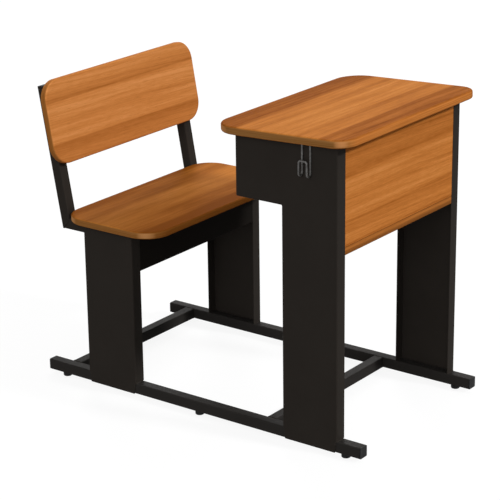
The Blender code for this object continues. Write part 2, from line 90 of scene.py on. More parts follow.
# Tubes, from the CAD: their outer and inner faces as distances from the middle, and half a seat bar
runner_low, runner_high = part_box("runner_right")
bar_low, bar_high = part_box("seat_bar_left")
TUBE_OUT = -runner_low.x
TUBE_IN = -runner_high.x
BAR_HALF = (bar_high.z - bar_low.z) / 2

# Screw head: flat and domed parts, and the cross recess, as shares of the head's radius or height
HEAD_FLAT_SHARE = 0.66
HEAD_DOME_SHARE = 0.8
RECESS_REACH_SHARE = 0.54
RECESS_HALF_WIDTH_SHARE = 0.13
RECESS_DEPTH_SHARE = 0.55
RECESS_TAPER = 0.62

# Weld beads: radii, lengths, unevenness, and how far they lie in the steel
BEAD_RADIUS = 0.0017
SEAM_RADIUS = 0.0022
HOOK_BEAD_RADIUS = 0.7 * BEAD_RADIUS
BEAD_PITCH = 0.0026
BEAD_STEP = 0.00065
BEAD_RIPPLE = 0.16
BEAD_WOBBLE = 0.08
BEAD_WOBBLE_STEPS = 4
BEAD_END_REACH = 1.5
BEAD_END_BLUNTNESS = 0.08
BEAD_SINK = 0.0005
HOOK_BEAD_INSET_SHARE = 0.8
HOOK_BEAD_START = 0.006
STITCH_LENGTH = 0.024
EASING_ROUNDS = 4

# Where a bead round a square tube ends on its side, and where it turns the corner, in half tubes
BEAD_SIDE_SHARE = 0.7
BEAD_TURN_SHARE = 0.8

# Steps of the round forms
CORNER_STEPS = 20
EDGE_STEPS = 6
GLIDE_STEPS = 40
GLIDE_SHOULDER_STEPS = 4
SCREW_STEPS = 24
SCREW_DOME_STEPS = 5
HOOK_SIDES = 20
HOOK_TURN_STEPS = 20
HOOK_CORNER_STEPS = 10
BEAD_SIDES = 7
TUBE_CORNER_STEPS = 3

# Mesh cleaning
WELD_DISTANCE = 2e-6
FLAT_ANGLE = math.radians(1.0)
SHARP_ANGLE = math.radians(38.0)

# Camera fitted to the photograph; its focal length is in pixels
CAMERA_PLACE = (-3.57551190, -2.62968994, 1.88565468)
CAMERA_AZIMUTH = math.radians(-53.41083834)
CAMERA_ELEVATION = math.radians(19.10680074)
CAMERA_ROLL = math.radians(-0.70651484)
CAMERA_FOCAL = 1918.96357
CAMERA_NEAR = 0.1
CAMERA_FAR = 200.0
IMAGE_SIDE = 500
SENSOR_WIDTH = 36.0

# Stage: share of light that the floor gives back, and how bright floor and sky look when seen directly
FLOOR_REACH = 30.0
FLOOR_SHARE = 0.14
FLOOR_LIFT = 0.90
SKY_LEVEL = 0.20
WHITE_LEVEL = 1.0

# Distant lamps: name, direction towards the lamp, level, spread in degrees
LAMPS = (
    ("key", (0.30, -1.5, 1.0), 0.54, 7.0),
    ("overhead", (0.1, -0.2, 1.0), 0.13, 60.0),
    ("fill", (-1.0, -0.3, 0.35), 0.43, 50.0),
    ("rear", (0.8, 0.6, 0.72), 0.35, 25.0),
)

# Sockets of a colour mix node, which carries those of its other kinds too
MIX_FACTOR = 0
MIX_FIRST = 6
MIX_SECOND = 7
MIX_RESULT = 2


class Graph:
    """Short ways to add and join the shader nodes of a material or a world."""

    def __init__(self, owner, output="ShaderNodeOutputMaterial"):
        owner.use_nodes = True
        self.tree = owner.node_tree
        self.tree.nodes.clear()
        self.output = self.add(output)

    def add(self, kind, **settings):
        node = self.tree.nodes.new(kind)
        for key, value in settings.items():
            setattr(node, key, value)
        return node

    def join(self, source, target):
        self.tree.links.new(source, target)

    def feed(self, node, values):
        """Each socket, by name or number, gets a link or a plain value."""
        for key, value in values.items():
            socket = node.inputs[key]
            if isinstance(value, bpy.types.NodeSocket):
                self.join(value, socket)
            else:
                socket.default_value = value

    def surface(self, shader):
        self.join(shader.outputs[0], self.output.inputs["Surface"])

    def coordinate(self, kind):
        return self.add("ShaderNodeTexCoord").outputs[kind]

    def seen_directly(self):
        """One where the camera, a mirror or clear material shows the surface, zero for soft light."""
        rays = self.add("ShaderNodeLightPath").outputs
        seen = self.math("MAXIMUM", rays["Is Camera Ray"], rays["Is Glossy Ray"])
        return self.math("MAXIMUM", seen, rays["Is Transmission Ray"])

    def math(self, operation, first, second=0.0):
        node = self.add("ShaderNodeMath", operation=operation)
        self.feed(node, {0: first, 1: second})
        return node.outputs[0]

    def times(self, first, second):
        return self.math("MULTIPLY", first, second)

    def plus(self, first, second):
        return self.math("ADD", first, second)

    def centred(self, value, amount):
        """A zero to one value turned into plus or minus half of the amount."""
        return self.times(self.math("SUBTRACT", value, 0.5), amount)

    def remap(self, value, source, target=(0.0, 1.0)):
        """The value's place between the source limits, carried over to the target limits."""
        node = self.add("ShaderNodeMapRange")
        self.feed(node, dict(enumerate((value, *source, *target))))
        return node.outputs[0]

    def vector(self, x, y, z):
        node = self.add("ShaderNodeCombineXYZ")
        self.feed(node, {"X": x, "Y": y, "Z": z})
        return node.outputs[0]

    def scaled(self, parts, scales):
        """A place with each of its three parts times its own scale."""
        return self.vector(*(self.times(part, scale) for part, scale in zip(parts, scales)))

    def split(self, vector):
        node = self.add("ShaderNodeSeparateXYZ")
        self.join(vector, node.inputs[0])
        return node.outputs

    def turned(self, vector, matrix, kind):
        """The vector as a board with this matrix has it in its own frame."""
        inverse = matrix.inverted()
        node = self.add("ShaderNodeMapping", vector_type=kind)
        self.feed(node, {"Vector": vector, "Rotation": inverse.to_euler()})
        if kind == "POINT":
            self.feed(node, {"Location": inverse.to_translation()})
        return node.outputs[0]

    def noise(self, vector, scale=1.0, detail=2.0, roughness=0.5):
        node = self.add("ShaderNodeTexNoise")
        self.feed(node, {"Vector": vector, "Scale": scale, "Detail": detail, "Roughness": roughness})
        return node.outputs[0]

    def ramp(self, value, stops):
        """Colour or lightness by position; a plain number stands for a grey."""
        node = self.add("ShaderNodeValToRGB")
        points = node.color_ramp.elements
        while len(points) < len(stops):
            points.new(0.5)
        for point, (position, colour) in zip(points, stops):
            point.position = position
            tone = (colour, colour, colour) if isinstance(colour, (int, float)) else colour
            point.color = (*tone, 1.0)
        self.join(value, node.inputs[0])
        return node.outputs[0]

    def mix(self, factor, first, second, blend="MIX"):
        node = self.add("ShaderNodeMix", data_type="RGBA", blend_type=blend)
        colours = [(*item, 1.0) if isinstance(item, tuple) else item for item in (first, second)]
        self.feed(node, {MIX_FACTOR: factor, MIX_FIRST: colours[0], MIX_SECOND: colours[1]})
        return node.outputs[MIX_RESULT]

    def tinted(self, colour, tint):
        return self.mix(1.0, colour, tint, "MULTIPLY")

    def worn_edge(self, radius, agreement):
        """Mask that rises where the surface turns within the radius.

        agreement: of the rounded with the plain normal, where the mask is zero and where it is one.
        """
        soft = self.add("ShaderNodeBevel", samples=4)
        soft.inputs["Radius"].default_value = radius
        plain = self.add("ShaderNodeNewGeometry")
        dot = self.add("ShaderNodeVectorMath", operation="DOT_PRODUCT")
        self.feed(dot, {0: soft.outputs[0], 1: plain.outputs["Normal"]})
        return self.remap(dot.outputs["Value"], agreement)

    def bump(self, height, strength, depth):
        node = self.add("ShaderNodeBump")
        self.feed(node, {"Strength": strength, "Distance": depth, "Height": height})
        return node.outputs[0]

    def finish(self, colour, roughness, normal, specular=0.5, metallic=0.0):
        shader = self.add("ShaderNodeBsdfPrincipled")
        self.feed(shader, {"Base Color": colour, "Roughness": roughness, "Normal": normal})
        self.feed(shader, {"Specular IOR Level": specular, "Metallic": metallic})
        self.surface(shader)


def start_material(name):
    material = bpy.data.materials.new(name)
    return material, Graph(material)


# Span that the values of a noise mostly fill, and depths of relief in metres
NOISE_SPAN = (0.3, 0.7)
SKIN_DEPTH = 0.0002
METAL_SKIN_DEPTH = 0.0001

WOOD_PORE = (0.155, 0.039, 0.006)
WOOD_DARK = (0.255, 0.068, 0.007)
WOOD_MIDDLE = (0.430, 0.136, 0.024)
WOOD_LIGHT = (0.605, 0.216, 0.047)
WOOD_PALE = (0.715, 0.285, 0.076)
WOOD_STOPS = ((0.08, WOOD_DARK), (0.42, WOOD_MIDDLE), (0.78, WOOD_LIGHT), (1.0, WOOD_PALE))
WOOD_ROUGHNESS = (0.50, 0.62)
WOOD_SPECULAR = 0.006

# Figure: slant of the rings, wander of bands and rings in metres, rings per metre and their sway
WOOD_SLANT = 0.030
BAND_WANDER = 0.012
RING_WANDER = 0.020
RING_COUNT = 62.0
RING_SWAY = 2.6
RING_STOPS = ((0.0, 0.30), (0.10, 0.66), (0.50, 0.80), (0.82, 0.44), (0.95, 0.06), (1.0, 0.24))
RING_MIDDLE = 0.52
RING_PRESENCE = (0.36, 0.64)
RING_STRENGTHS = (0.05, 0.30)
PORE_SPAN = (0.64, 0.76)
PORE_SHARE = 0.55
PORE_DEPTH = 0.8

# Edge band: where a face turns into it, grain scales per metre, tones, and a painted highlight on its
# rounded corners
RIM_TURN = (0.80, 0.35)
RIM_GRAIN = (5.0, 5.0, 520.0)
RIM_STOPS = ((0.30, WOOD_MIDDLE), (0.58, WOOD_LIGHT))
RIM_PAINTED_HIGHLIGHT = (0.68, 0.30, 0.115)
CORNER_HIGHLIGHT_GAIN = 2.6
CORNER_HIGHLIGHT_SPAN = (0.62, 1.0)

# Looks of the boards, set from the photograph.
# bands: figure across the grain, as position from the -Y (or lower) rim and lightness.
# fine and mottle: strength of the narrow figure and of the wide one.
# level: colour factors for the whole board, its tone together with painted light and shade; ends and
# front_rim_painted_shading: painted light and shade on the rims that face X and Y.
# bend: how far a painted highlight whitens the edge band on its rounded corners.
PLAIN_FRONT_RIM_SHADING = (0.96, 0.97, 1.0)
DESKTOP_LOOK = {
    "seed": 3.1,
    "fine": 0.78,
    "mottle": 0.52,
    "level": (0.95, 0.93, 0.84),
    "ends": (0.61, 0.80, 1.20),
    "front_rim_painted_shading": (1.10, 1.10, 1.22),
    "bend": 0.80,
    "bands": (
        (0.00, 0.40), (0.03, 0.32), (0.07, 0.28), (0.11, 0.44), (0.15, 0.27), (0.185, 0.34),
        (0.200, 0.70), (0.26, 0.68), (0.30, 0.70), (0.325, 0.52), (0.35, 0.52), (0.375, 0.78),
        (0.48, 0.80), (0.53, 0.77), (0.58, 0.82), (0.62, 0.74), (0.655, 0.54), (0.69, 0.72),
        (0.75, 0.72), (0.785, 0.60), (0.81, 0.26), (0.83, 0.17), (0.87, 0.27), (0.91, 0.22),
        (0.95, 0.15), (1.00, 0.30),
    ),
}
SEAT_LOOK = {
    "seed": 7.7,
    "fine": 0.50,
    "mottle": 0.68,
    "level": (1.05, 1.12, 1.06),
    "ends": (0.56, 0.62, 0.80),
    "front_rim_painted_shading": (0.68, 0.61, 0.50),
    "bend": 0.75,
    "bands": (
        (0.00, 0.14), (0.06, 0.05), (0.13, 0.14), (0.16, 0.32), (0.20, 0.36), (0.27, 0.38),
        (0.33, 0.37), (0.38, 0.62), (0.52, 0.60), (0.62, 0.72), (0.67, 0.56), (0.71, 0.32),
        (0.77, 0.36), (0.84, 0.36), (0.90, 0.14), (0.94, 0.00), (1.00, 0.00),
    ),
}
BACK_LOOK = {
    "seed": 11.3,
    "fine": 0.66,
    "mottle": 0.10,
    "level": (1.02, 1.04, 1.20),
    "ends": (0.66, 0.70, 0.64),
    "front_rim_painted_shading": PLAIN_FRONT_RIM_SHADING,
    "bend": 0.0,
    "bands": (
        (0.00, 0.56), (0.10, 0.64), (0.16, 0.52), (0.225, 0.46), (0.238, 0.44), (0.255, 0.72),
        (0.32, 0.90), (0.37, 0.74), (0.43, 0.84), (0.49, 0.66), (0.56, 0.87), (0.60, 0.80),
        (0.665, 0.94), (0.71, 0.80), (0.738, 0.68), (0.752, 0.40), (0.775, 0.56), (0.86, 0.70),
        (0.90, 0.85), (0.94, 0.87), (1.00, 0.74),
    ),
}
PANEL_LOOK = {
    "seed": 17.9,
    "fine": 0.84,
    "mottle": 0.20,
    "level": (1.06, 1.03, 1.00),
    "ends": (0.74, 0.82, 0.84),
    "front_rim_painted_shading": PLAIN_FRONT_RIM_SHADING,
    "bend": 0.0,
    "bands": (
        (0.00, 0.58), (0.015, 0.42), (0.03, 0.70), (0.12, 0.76), (0.15, 0.63), (0.21, 0.60),
        (0.238, 0.45), (0.262, 0.70), (0.32, 0.88), (0.36, 0.76), (0.40, 0.82), (0.46, 0.64),
        (0.52, 0.82), (0.57, 0.74), (0.61, 0.88), (0.65, 0.74), (0.68, 0.56), (0.70, 0.48),
        (0.72, 0.56), (0.76, 0.56), (0.81, 0.70), (0.86, 0.52), (0.94, 0.56), (1.00, 0.60),
    ),
}


def wood_face(graph, x, y, length, look):
    """Colour of a board's faces, and the height and fine streaks of their skin."""
    fineness = look["fine"]

    def stretched(y_place, shift, scales, detail=2.0, roughness=0.5):
        """Noise drawn out along the grain: its scales are those along and across it."""
        along, across_scale = scales
        place = graph.vector(
            graph.times(x, along), graph.times(y_place, across_scale), look["seed"] + shift
        )
        return graph.noise(place, detail=detail, roughness=roughness)

    drift = stretched(y, 0.0, (1.3, 7.0))
    drifted = graph.plus(y, graph.centred(drift, BAND_WANDER))
    band = graph.ramp(graph.plus(graph.math("DIVIDE", drifted, length), 0.5), look["bands"])
    slanted = graph.plus(y, graph.times(x, WOOD_SLANT))
    across = graph.plus(slanted, graph.centred(drift, RING_WANDER))
    # Growth rings: each darkens slowly and then breaks off
    sway = stretched(across, 3.0, (1.7, 16.0), 2.0, 0.6)
    swayed = graph.plus(graph.times(across, RING_COUNT), graph.centred(sway, RING_SWAY))
    ring = graph.math("FRACT", swayed)
    ring_tone = graph.math("SUBTRACT", graph.ramp(ring, RING_STOPS), RING_MIDDLE)
    presence = stretched(across, 9.0, (1.1, 24.0))
    strengths = [fineness * strength for strength in RING_STRENGTHS]
    strength = graph.remap(presence, RING_PRESENCE, strengths)
    tone = graph.plus(band, graph.times(ring_tone, strength))
    # Broad streaks, flecks, fine streaks and mottle over the bands
    broad = stretched(across, 5.0, (2.4, 110.0), 3.0, 0.62)
    fleck = stretched(across, 11.0, (38.0, 230.0), 3.0, 0.6)
    fine = stretched(across, 7.0, (8.0, 480.0), 4.0, 0.72)
    mottle = stretched(across, 13.0, (5.0, 38.0))
    amounts = (0.54 * fineness, 0.42 * fineness, 0.60 * fineness, look["mottle"])
    for layer, amount in zip((broad, fleck, fine, mottle), amounts):
        tone = graph.plus(tone, graph.centred(layer, amount))
    dash = stretched(across, 0.0, (30.0, 1500.0))
    pore = graph.remap(dash, PORE_SPAN, (0.0, PORE_SHARE))
    face = graph.mix(pore, graph.ramp(tone, WOOD_STOPS), WOOD_PORE)
    return face, graph.plus(fine, graph.times(pore, -PORE_DEPTH)), fine


def wood_rim(graph, place, normal, look):
    """Colour of a board's edge band, with its grain along the edge, painted shading on its rims and a
    painted highlight on its corners.
    """
    line = graph.noise(graph.scaled(place, RIM_GRAIN), detail=3.0, roughness=0.6)
    rim = graph.ramp(line, RIM_STOPS)
    facing_x = graph.math("ABSOLUTE", normal["X"])
    facing_y = graph.math("ABSOLUTE", normal["Y"])
    # Painted shading: rims that face X and rims that face Y each get their own lighter or darker factor
    # for how the light falls on them.
    rim = graph.mix(facing_x, graph.tinted(rim, look["front_rim_painted_shading"]), graph.tinted(rim, look["ends"]))
    # Painted highlight mask: up to one on a rounded corner, nearer to the end than to the front, and
    # zero on straight rims
    corner_highlight_mask = graph.times(graph.times(facing_x, facing_x), graph.times(facing_y, CORNER_HIGHLIGHT_GAIN))
    return graph.mix(graph.remap(corner_highlight_mask, CORNER_HIGHLIGHT_SPAN, (0.0, look["bend"])), rim, RIM_PAINTED_HIGHLIGHT)


def laminate(name, matrix, length, look):
    """Wood-grain laminate with its grain along a board's own X, and its figure across Y."""
    material, graph = start_material(name)
    place = graph.split(graph.turned(graph.coordinate("Object"), matrix, "POINT"))
    normal = graph.split(graph.turned(graph.coordinate("Normal"), matrix, "VECTOR"))
    face, height, fine = wood_face(graph, place["X"], place["Y"], length, look)
    rim = wood_rim(graph, place, normal, look)
    rim_share = graph.remap(graph.math("ABSOLUTE", normal["Z"]), RIM_TURN)
    # The board's level holds painted light and shade as well as its tone.
    colour = graph.tinted(graph.mix(rim_share, face, rim), look["level"])
    rough = graph.remap(fine, NOISE_SPAN, WOOD_ROUGHNESS)
    skin = graph.bump(height, strength=0.25, depth=SKIN_DEPTH)
    graph.finish(colour, rough, skin, specular=WOOD_SPECULAR)
    return material


LIPPING_GRAIN = (7.0, 420.0, 420.0)
LIPPING_STOPS = ((0.30, WOOD_MIDDLE), (0.70, WOOD_LIGHT))
LIPPING_SPECULAR = 0.015
# Painted shade over the strip's height: darker low down and at its upper edge.
LIPPING_PAINTED_SHADE = (
    (0.0, 0.42), (0.10, 0.50), (0.38, 0.56), (0.55, 0.82), (0.68, 0.93), (0.80, 0.92), (0.94, 0.72),
    (1.0, 0.5),
)


def lipping(name):
    """Edge strip under the modesty panel: wood-grain foil with painted shade, darker low down and at
    its upper edge.
    """
    material, graph = start_material(name)
    place = graph.split(graph.coordinate("Object"))
    low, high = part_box("panel_lipping")
    painted_shade = graph.ramp(graph.remap(place["Z"], (low.z, high.z)), LIPPING_PAINTED_SHADE)
    grain = graph.noise(graph.scaled(place, LIPPING_GRAIN), detail=4.0, roughness=0.7)
    colour = graph.tinted(graph.ramp(grain, LIPPING_STOPS), painted_shade)
    rough = graph.remap(grain, NOISE_SPAN, WOOD_ROUGHNESS)
    skin = graph.bump(grain, strength=0.3, depth=SKIN_DEPTH)
    graph.finish(colour, rough, skin, specular=LIPPING_SPECULAR)
    return material


COAT_COLOUR = (0.0310, 0.0262, 0.0224)
BASE_COLOUR = (0.0300, 0.0272, 0.0250)
# The apron's coat is the frame paint at about half its colour and with less sheen: painted shade for
# the shadow under the seat.
APRON_PAINTED_SHADE_COLOUR = (0.0145, 0.0122, 0.0105)
COAT_SPECULAR = 0.012
BASE_SPECULAR = 0.016
APRON_PAINTED_SHADE_SPECULAR = 0.004
COAT_WORN = (0.075, 0.070, 0.063)
COAT_ROUGHNESS = (0.42, 0.52)
CLOUD_SHARES = (0.86, 1.14)
GRIT_SHARE = 0.25

# Marks: scuffs from a height down to the floor, rubbed edges, and how much rougher both are
SCUFF_TOP = 0.16
SCUFF_SPAN = (0.66, 0.76)
SCUFF_SHARES = (0.05, 0.60)
RUB_RADIUS = 0.0016
RUB_AGREEMENT = (0.97, 0.70)
RUB_PATCHES = (0.42, 0.68)
RUB_SHARES = (0.05, 0.50)
MARK_ROUGHNESS = 0.15


def powder_coat(name, coat, specular):
    """Black powder paint: orange-peel skin, cloudiness, rubbed edges and scuffs low on the legs."""
    material, graph = start_material(name)
    place = graph.coordinate("Object")
    peel = graph.noise(place, scale=620.0, detail=2.0, roughness=0.55)
    grit = graph.noise(place, scale=2400.0, detail=1.0)
    cloud = graph.noise(place, scale=9.0, detail=3.0, roughness=0.6)
    scuff = graph.noise(place, scale=240.0, detail=4.0, roughness=0.75)
    patch = graph.noise(place, scale=60.0, detail=4.0, roughness=0.7)
    scuff_share = graph.remap(graph.split(place)["Z"], (SCUFF_TOP, 0.0), SCUFF_SHARES)
    scuffed = graph.times(graph.remap(scuff, SCUFF_SPAN), scuff_share)
    rub_share = graph.remap(patch, RUB_PATCHES, RUB_SHARES)
    rubbed = graph.times(graph.worn_edge(RUB_RADIUS, RUB_AGREEMENT), rub_share)
    marks = graph.math("MAXIMUM", scuffed, rubbed)
    dark, light = (tuple(share * channel for channel in coat) for share in CLOUD_SHARES)
    colour = graph.mix(marks, graph.mix(cloud, dark, light), COAT_WORN)
    clean_rough = graph.remap(cloud, NOISE_SPAN, COAT_ROUGHNESS)
    rough = graph.plus(clean_rough, graph.times(marks, MARK_ROUGHNESS))
    height = graph.plus(peel, graph.times(grit, GRIT_SHARE))
    skin = graph.bump(height, strength=0.30, depth=SKIN_DEPTH)
    graph.finish(colour, rough, skin, specular=specular)
    return material


PLASTIC_DARK = (0.009, 0.009, 0.009)
PLASTIC_LIGHT = (0.014, 0.014, 0.014)
PLASTIC_DUST = (0.030, 0.029, 0.027)
PLASTIC_ROUGHNESS = (0.50, 0.66)
PLASTIC_SPECULAR = 0.12
DUST_SPAN = (0.55, 0.75)
DUST_SHARE = 0.35


def moulded_plastic(name):
    """Black moulded plastic with a fine eroded grain."""
    material, graph = start_material(name)
    place = graph.coordinate("Object")
    grain = graph.noise(place, scale=1500.0, detail=3.0, roughness=0.6)
    cloud = graph.noise(place, scale=40.0)
    speck = graph.noise(place, scale=420.0, detail=3.0, roughness=0.7)
    dust = graph.remap(speck, DUST_SPAN, (0.0, DUST_SHARE))
    colour = graph.mix(dust, graph.mix(cloud, PLASTIC_DARK, PLASTIC_LIGHT), PLASTIC_DUST)
    rough = graph.remap(cloud, NOISE_SPAN, PLASTIC_ROUGHNESS)
    skin = graph.bump(grain, strength=0.4, depth=SKIN_DEPTH)
    graph.finish(colour, rough, skin, specular=PLASTIC_SPECULAR)
    return material


ROD_DARK = (0.075, 0.070, 0.066)
ROD_LIGHT = (0.150, 0.145, 0.140)
ROD_STREAKS = (3200.0, 3200.0, 90.0)
ROD_RUBBED = (0.45, 0.75)
ROD_ROUGHNESS = (0.38, 0.50)
ROD_METALLIC = 0.35


def dark_steel(name):
    """Blackened steel rod with fine streaks along its upright stems and lighter rubbed patches."""
    material, graph = start_material(name)
    place = graph.coordinate("Object")
    streak = graph.noise(graph.scaled(graph.split(place), ROD_STREAKS))
    rub = graph.noise(place, scale=130.0, detail=3.0, roughness=0.6)
    colour = graph.mix(graph.remap(rub, ROD_RUBBED), ROD_DARK, ROD_LIGHT)
    rough = graph.remap(streak, NOISE_SPAN, ROD_ROUGHNESS)
    skin = graph.bump(streak, strength=0.2, depth=METAL_SKIN_DEPTH)
    graph.finish(colour, rough, skin, metallic=ROD_METALLIC)
    return material


ZINC_DARK = (0.42, 0.42, 0.41)
ZINC_LIGHT = (0.62, 0.62, 0.60)
ZINC_ROUGHNESS = (0.26, 0.42)


def zinc(name):
    """Zinc-plated screw steel."""
    material, graph = start_material(name)
    spangle = graph.noise(graph.coordinate("Object"), scale=900.0, detail=3.0, roughness=0.6)
    colour = graph.mix(spangle, ZINC_DARK, ZINC_LIGHT)
    rough = graph.remap(spangle, NOISE_SPAN, ZINC_ROUGHNESS)
    skin = graph.bump(spangle, strength=0.15, depth=METAL_SKIN_DEPTH)
    graph.finish(colour, rough, skin, metallic=1.0)
    return material


def place_piece(name, mesh, material, node=None):
    """A piece whose mesh already lies in its place; it replaces the node, if one is given."""
    piece = bpy.data.objects.new(name, mesh)
    bpy.context.scene.collection.objects.link(piece)
    mesh.materials.clear()
    mesh.materials.append(material)
    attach(piece, "root")
    if node:
        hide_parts(node)
    return piece


def weigh_normals(piece):
    weighted = piece.modifiers.new("Weighted", "WEIGHTED_NORMAL")
    weighted.keep_sharp = True


def mesh_from(shape, name):
    """The finished mesh, smooth apart from edges that turn by more than the sharp angle."""
    bmesh.ops.recalc_face_normals(shape, faces=shape.faces)
    for face in shape.faces:
        face.smooth = True
    for edge in shape.edges:
        if edge.is_manifold:
            edge.smooth = edge.calc_face_angle(0.0) < SHARP_ANGLE
    mesh = bpy.data.meshes.new(name)
    shape.to_mesh(mesh)
    shape.free()
    return mesh


def middle(node):
    low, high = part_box(node)
    return (low + high) / 2


def turn_x(angle):
    return Matrix.Rotation(angle, 4, "X")


def quarter_turn(steps):
    """Angles from zero to a right angle."""
    return [0.5 * math.pi * step / steps for step in range(steps + 1)]


def bridge(shape, first, second):
    """Faces between two closed rings with the same number of points."""
    count = len(first)
    for index in range(count):
        following = (index + 1) % count
        shape.faces.new((first[index], second[index], second[following], first[following]))


def bridge_all(shape, rings):
    for first, second in zip(rings, rings[1:]):
        bridge(shape, first, second)


def rounded_rectangle(half_width, half_length, corners, steps, inset=0.0):
    """Outline about the origin; corners holds the radii at its negative and its positive end."""
    outline = []
    for sign_x, sign_y, start in ((1, 1, 0.0), (-1, 1, 0.5), (-1, -1, 1.0), (1, -1, 1.5)):
        corner = corners[1] if sign_y > 0 else corners[0]
        for step in range(steps + 1):
            angle = math.pi * (start + 0.5 * step / steps)
            x = sign_x * (half_width - corner) + (corner - inset) * math.cos(angle)
            y = sign_y * (half_length - corner) + (corner - inset) * math.sin(angle)
            outline.append((x, y))
    return outline


def board_mesh(name, form, matrix):
    """Board with rounded corners and rims rolled over at both faces, set in its place."""
    half_x, half_y, half_z = (length / 2 for length in form["size"])
    edge = form["edge"]
    shape = bmesh.new()

    def ring(inset, height):
        outline = rounded_rectangle(half_x, half_y, form["corners"], CORNER_STEPS, inset)
        return [shape.verts.new((x, y, height)) for x, y in outline]

    support = edge * (1 + EDGE_SUPPORT_SHARE)
    rings = [ring(support, half_z)]
    for angle in quarter_turn(EDGE_STEPS):
        rings.append(ring(edge * (1 - math.sin(angle)), half_z - edge * (1 - math.cos(angle))))
    for angle in quarter_turn(EDGE_STEPS):
        rings.append(ring(edge * (1 - math.cos(angle)), -half_z + edge * (1 - math.sin(angle))))
    rings.append(ring(support, -half_z))
    bridge_all(shape, rings)
    shape.faces.new(rings[0])
    shape.faces.new(reversed(rings[-1]))
    bmesh.ops.remove_doubles(shape, verts=shape.verts, dist=WELD_DISTANCE)
    bmesh.ops.transform(shape, matrix=matrix, verts=shape.verts)
    return mesh_from(shape, name)


def smooth_copy(node, material, name=None):
    """The node's own shape with its facets welded, so that bends and roundings shade smoothly."""
    shape = bmesh.new()
    shape.from_mesh(nodes[node].data)
    bmesh.ops.remove_doubles(shape, verts=shape.verts, dist=WELD_DISTANCE)
    bmesh.ops.dissolve_limit(shape, angle_limit=FLAT_ANGLE, verts=shape.verts, edges=shape.edges)
    name = name or node + "_skin"
    weigh_normals(place_piece(name, mesh_from(shape, name), material, node))


def turned_rings(shape, profile, steps, centre=(0.0, 0.0)):
    """Bridged rings about a vertical axis; the profile holds radius and height from end to end."""
    rings = []
    for radius, height in profile:
        ring = []
        for step in range(steps):
            angle = 2 * math.pi * step / steps
            x = centre[0] + radius * math.cos(angle)
            y = centre[1] + radius * math.sin(angle)
            ring.append(shape.verts.new((x, y, height)))
        rings.append(ring)
    bridge_all(shape, rings)
    return rings


def sweep(shape, points, radii, sides, closed=False):
    """Tube along a line of points, with a radius at each."""
    rings = []
    guide = None
    for index, point in enumerate(points):
        before = points[index - 1] if index or closed else point
        after = points[(index + 1) % len(points)] if index < len(points) - 1 or closed else point
        along = (after - before).normalized()
        guide = along.orthogonal() if guide is None else guide
        guide = (guide - along * guide.dot(along)).normalized()
        other = along.cross(guide)
        ring = []
        for side in range(sides):
            angle = 2 * math.pi * side / sides
            offset = guide * math.cos(angle) + other * math.sin(angle)
            ring.append(shape.verts.new(point + offset * radii[index]))
        rings.append(ring)
    bridge_all(shape, rings)
    if closed:
        bridge(shape, rings[-1], rings[0])
    else:
        shape.faces.new(rings[0])
        shape.faces.new(reversed(rings[-1]))


def lay(node, turn):
    """Place of a board: the middle of its CAD node, with a turn about X."""
    return Matrix.Translation(middle(node)) @ turn_x(turn)


def build_board(node, name, material_name, form, look):
    """A board with finer rims in the place of its CAD node."""
    place = lay(node, form["turn"])
    wood = laminate(material_name, place, form["size"][1], look)
    place_piece(name, board_mesh(name, form, place), wood, node)


def build_boards():
    """Desktop, seat and backrest, and the modesty panel with its edge strip."""
    build_board("desktop", "desktop_board", "desktop_laminate", DESKTOP_FORM, DESKTOP_LOOK)
    build_board("seat_board", "seat_panel", "seat_laminate", SEAT_FORM, SEAT_LOOK)
    build_board("backrest", "backrest_panel", "backrest_laminate", BACK_FORM, BACK_LOOK)
    low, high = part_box("modesty_panel")
    wood = laminate("modesty_laminate", lay("modesty_panel", math.pi / 2), high.z - low.z, PANEL_LOOK)
    smooth_copy("modesty_panel", wood, "modesty_board")
    smooth_copy("panel_lipping", lipping("lipping_strip"))


BASE_NODES = ("runner", "cross_rail")
FRAME_NODES = ("desk_leg", "seat_leg", "seat_bar", "back_post", "seat_cross_tube", "panel_angle",
               "desk_cross_tube", "book_tray")


def build_frame(paint, plastic):
    """Frame, tray and tube plugs, which keep the shape of their CAD nodes."""
    base_paint = powder_coat("base_powder_coat", BASE_COLOUR, BASE_SPECULAR)
    apron_painted_shade = powder_coat("apron_painted_shade_coat", APRON_PAINTED_SHADE_COLOUR, APRON_PAINTED_SHADE_SPECULAR)
    for node in sorted(nodes):
        if "_plug_" in node:
            smooth_copy(node, plastic)
        elif node.startswith(BASE_NODES):
            smooth_copy(node, base_paint)
        elif node.startswith(FRAME_NODES):
            smooth_copy(node, paint)
    # The apron gets the darker copy of the paint: painted shade under the seat.
    smooth_copy("seat_apron", apron_painted_shade)


def glide_profile(top):
    """Stem, softened shoulder under the runner, flare and rounded foot."""
    shoulder = runner_low.z - GLIDE_GAP
    soft = GLIDE_ROUND / 3
    flare = GLIDE_RADIUS - GLIDE_FOOT_RADIUS
    profile = [(GLIDE_STEM_RADIUS, top), (GLIDE_STEM_RADIUS, shoulder)]
    for angle in quarter_turn(GLIDE_SHOULDER_STEPS):
        radius = GLIDE_RADIUS - soft + soft * math.sin(angle)
        profile.append((radius, shoulder - soft * (1 - math.cos(angle))))
    for angle in quarter_turn(EDGE_STEPS):
        radius = GLIDE_FOOT_RADIUS + flare * math.cos(angle)
        profile.append((radius, GLIDE_ROUND * (1 - math.sin(angle))))
    return profile


def build_glides(plastic):
    for node in sorted(name for name in nodes if name.startswith("glide_")):
        centre = middle(node)
        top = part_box(node)[1].z
        shape = bmesh.new()
        rings = turned_rings(shape, glide_profile(top), GLIDE_STEPS, (centre.x, centre.y))
        shape.faces.new(rings[0])
        shape.faces.new(reversed(rings[-1]))
        name = node + "_turned"
        weigh_normals(place_piece(name, mesh_from(shape, name), plastic, node))


def arc(centre, first, second, start, end, steps):
    """Points from start to end, both in half turns; first and second are the arc's half axes."""
    points = []
    for step in range(steps + 1):
        angle = math.pi * (start + (end - start) * step / steps)
        points.append(centre + first * math.cos(angle) + second * math.sin(angle))
    return points


